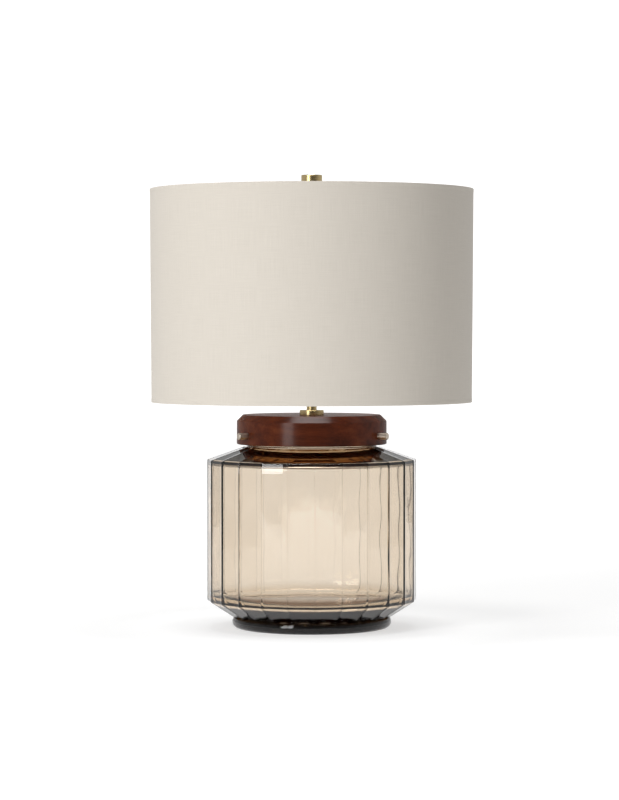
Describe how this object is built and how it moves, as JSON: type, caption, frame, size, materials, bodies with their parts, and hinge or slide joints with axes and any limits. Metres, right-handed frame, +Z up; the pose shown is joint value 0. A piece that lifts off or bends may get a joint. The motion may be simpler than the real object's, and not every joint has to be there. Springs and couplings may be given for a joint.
{
  "type": "table lamp",
  "caption": "Table lamp with a fabric drum shade on a harp, over a faceted smoked glass jar whose turned wooden lid is held by radial clamp screws.",
  "frame": {"origin": "on the table under the middle of the jar's foot", "axes": "+Z up along the lamp's axis, -Y towards the front, +X to the front's right"},
  "size_m": [0.4064, 0.4062, 0.5677],
  "materials": {
    "smoked_glass": "clear smoked brown, polished",
    "stained_wood": "satin varnish over red-brown stain",
    "satin_brass": "satin brushed",
    "brass_plain": "turned, uncoated",
    "holder_brass": "bright plated",
    "harp_brass": "bright plated wire",
    "brushed_pin": "fine brushed, champagne tint",
    "zinc_steel": "zinc plated",
    "thin_aluminium": "bright rolled",
    "solder": "dull solder",
    "gasket_rubber": "matte",
    "soft_pad": "matte",
    "black_nylon": "matte",
    "black_moulding": "moulded, semi gloss",
    "card": "plain",
    "black_glass": "glassy",
    "frosted_glass": "soft white frosting",
    "clear_glass": "clear",
    "filament_yellow": "matte coating",
    "linen": "fine plain weave, matte",
    "white_liner": "smooth styrene",
    "white_enamel": "smooth enamel",
    "fibre": "pressed fibre"
  },
  "bodies": {
    "base": {"glass_jar": "smoked_glass", "lid_gasket": "gasket_rubber", "wooden_lid": "stained_wood", "clamp_bushes": "brass_plain", "cord_inlet_bush": "black_nylon", "lid_washer": "zinc_steel", "lock_nut": "zinc_steel", "threaded_pipe": "zinc_steel", "brass_flange": "satin_brass", "neck_tube": "satin_brass", "harp_saddle": "harp_brass", "harp_wire": "harp_brass", "harp_swivel": "harp_brass", "socket_cap": "holder_brass", "cap_grub_screw": "zinc_steel", "socket_shell": "holder_brass", "insulating_sleeve": "card", "socket_body": "black_moulding", "terminal_screws": "brass_plain", "screw_shell": "thin_aluminium", "centre_contact": "brass_plain"},
    "shade": {"shade_fabric": "linen", "shade_liner": "white_liner", "shade_top_frame": "white_enamel", "shade_bottom_ring": "white_enamel", "finial_washer": "fibre"},
    "finial_thread": {"finial_insert": "brass_plain"},
    "finial": {"finial_knob": "satin_brass"},
    "bulb_contact": {"bulb_tip_contact": "solder"},
    "bulb": {"bulb_cap": "thin_aluminium", "bulb_insulator": "black_glass", "bulb_glass": "frosted_glass", "bulb_stem": "clear_glass", "bulb_filaments": "filament_yellow"},
    "switch": {"switch_stem": "brass_plain", "switch_knob": "black_moulding"},
    "sleeve_left": {"harp_sleeve_left": "harp_brass"},
    "sleeve_right": {"harp_sleeve_right": "harp_brass"},
    "pad_left": {"clamp_tip_left": "soft_pad"},
    "clamp_left": {"clamp_screw_left": "brushed_pin"},
    "pad_right": {"clamp_tip_right": "soft_pad"},
    "clamp_right": {"clamp_screw_right": "brushed_pin"},
    "pad_rear": {"clamp_tip_rear": "soft_pad"},
    "clamp_rear": {"clamp_screw_rear": "brushed_pin"}
  },
  "joints": [
    {"name": "shade_turn", "type": "hinge", "parent": "base", "child": "shade", "pos_m": [0, 0, 0.53885], "axis": [0, 0, 1], "continuous": true},
    {"name": "finial_rise", "type": "slide", "parent": "base", "child": "finial_thread", "axis": [0, 0, 1], "range_m": [0, 0.01128]},
    {"name": "finial_turn", "type": "hinge", "parent": "finial_thread", "child": "finial", "pos_m": [0, 0, 0.5418], "axis": [0, 0, 1], "range_deg": [0, 4320]},
    {"name": "bulb_rise", "type": "slide", "parent": "base", "child": "bulb_contact", "axis": [0, 0, 1], "range_m": [0, 0.01632]},
    {"name": "bulb_turn", "type": "hinge", "parent": "bulb_contact", "child": "bulb", "pos_m": [0, 0, 0.3482], "axis": [0, 0, 1], "range_deg": [0, 1620]},
    {"name": "switch_turn", "type": "hinge", "parent": "base", "child": "switch", "pos_m": [0, -0.0165, 0.3354], "axis": [0, -1, 0], "continuous": true},
    {"name": "sleeve_left_slide", "type": "slide", "parent": "base", "child": "sleeve_left", "axis": [0, 0, 1], "range_m": [0, 0.012]},
    {"name": "sleeve_right_slide", "type": "slide", "parent": "base", "child": "sleeve_right", "axis": [0, 0, 1], "range_m": [0, 0.012]},
    {"name": "clamp_left_travel", "type": "slide", "parent": "base", "child": "pad_left", "axis": [-0.866, -0.5, 0], "range_m": [0, 0.0048]},
    {"name": "clamp_left_turn", "type": "hinge", "parent": "pad_left", "child": "clamp_left", "pos_m": [-0.07041, -0.04065, 0.2418], "axis": [-0.866, -0.5, 0], "range_deg": [0, 2160]},
    {"name": "clamp_right_travel", "type": "slide", "parent": "base", "child": "pad_right", "axis": [0.866, -0.5, 0], "range_m": [0, 0.0048]},
    {"name": "clamp_right_turn", "type": "hinge", "parent": "pad_right", "child": "clamp_right", "pos_m": [0.07041, -0.04065, 0.2418], "axis": [0.866, -0.5, 0], "range_deg": [0, 2160]},
    {"name": "clamp_rear_travel", "type": "slide", "parent": "base", "child": "pad_rear", "axis": [0, 1, 0], "range_m": [0, 0.0048]},
    {"name": "clamp_rear_turn", "type": "hinge", "parent": "pad_rear", "child": "clamp_rear", "pos_m": [0, 0.0813, 0.2418], "axis": [0, 1, 0], "range_deg": [0, 2160]}
  ],
  "couplings": [
    {"joint": "finial_turn", "follows": "finial_rise", "rad_per_m": 6679},
    {"joint": "bulb_turn", "follows": "bulb_rise", "rad_per_m": 1731.6},
    {"joint": "clamp_left_turn", "follows": "clamp_left_travel", "rad_per_m": 7854},
    {"joint": "clamp_right_turn", "follows": "clamp_right_travel", "rad_per_m": 7854},
    {"joint": "clamp_rear_turn", "follows": "clamp_rear_travel", "rad_per_m": 7854}
  ]
}
